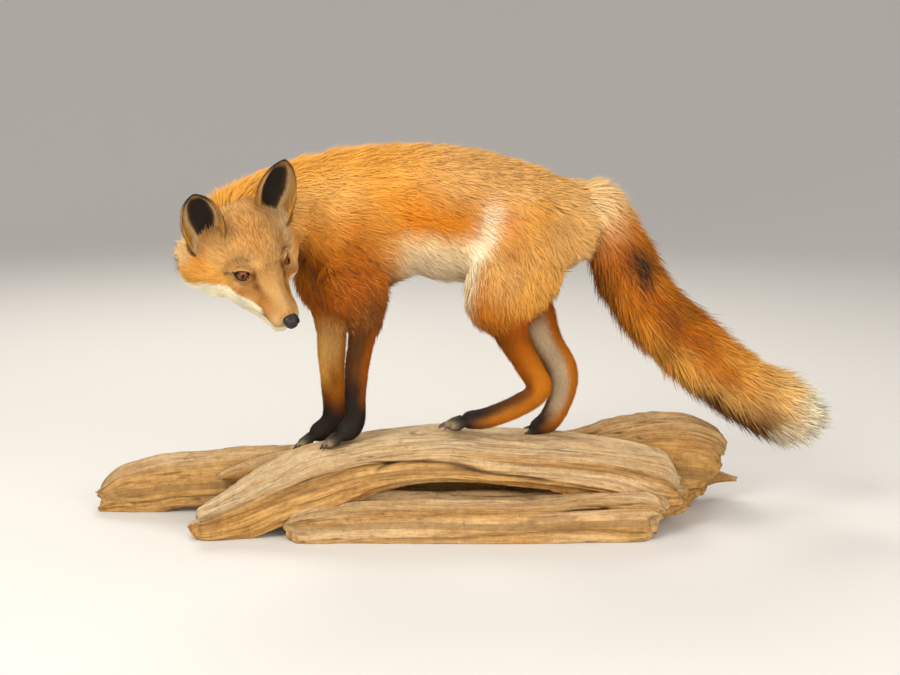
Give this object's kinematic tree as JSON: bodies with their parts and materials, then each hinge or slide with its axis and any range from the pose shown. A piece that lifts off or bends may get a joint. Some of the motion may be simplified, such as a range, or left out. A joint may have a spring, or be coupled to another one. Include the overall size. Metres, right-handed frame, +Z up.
{
  "type": "taxidermy red fox on driftwood",
  "caption": "Mounted red fox, life-size, standing on stacked driftwood with its head turned back over its left side and its brush hanging low.",
  "frame": {"origin": "middle of the underside of the whole model", "axes": "+X along the body towards the tail, +Y towards the fox's right side, +Z up"},
  "size_m": [0.9334, 0.29, 0.4788],
  "materials": {
    "coat": "orange fur with grizzled back, cream belly and white jaw and tail tip",
    "stocking": "short dark fur of the lower legs, with dark claws",
    "ear_skin": "thin furred ear, dark inside and behind",
    "eye_glass": "polished amber glass eye",
    "nose_leather": "damp-looking black nose leather",
    "claw": "dark horn",
    "driftwood": "dry, weathered driftwood with long cracks"
  },
  "bodies": {
    "root": {"base_block_right": "driftwood", "base_branch": "driftwood", "base_log_main": "driftwood", "base_slab_front": "driftwood", "base_slab_left": "driftwood", "base_spike_right": "driftwood", "ear_left": "ear_skin", "ear_right": "ear_skin", "eye_left": "eye_glass", "eye_right": "eye_glass", "front_left_forearm": "coat", "front_left_paw": "stocking", "front_left_shoulder": "coat", "front_right_forearm": "coat", "front_right_paw": "stocking", "front_right_shoulder": "coat", "head": "coat", "hind_left_metatarsus": "stocking", "hind_left_paw": "stocking", "hind_left_shank": "coat", "hind_left_thigh": "coat", "hind_right_metatarsus": "stocking", "hind_right_paw": "stocking", "hind_right_shank": "coat", "hind_right_thigh": "coat", "neck": "coat", "nose": "nose_leather", "tail_middle": "coat", "tail_root": "coat", "tail_tip": "coat", "trunk": "coat"}
  },
  "joints": []
}
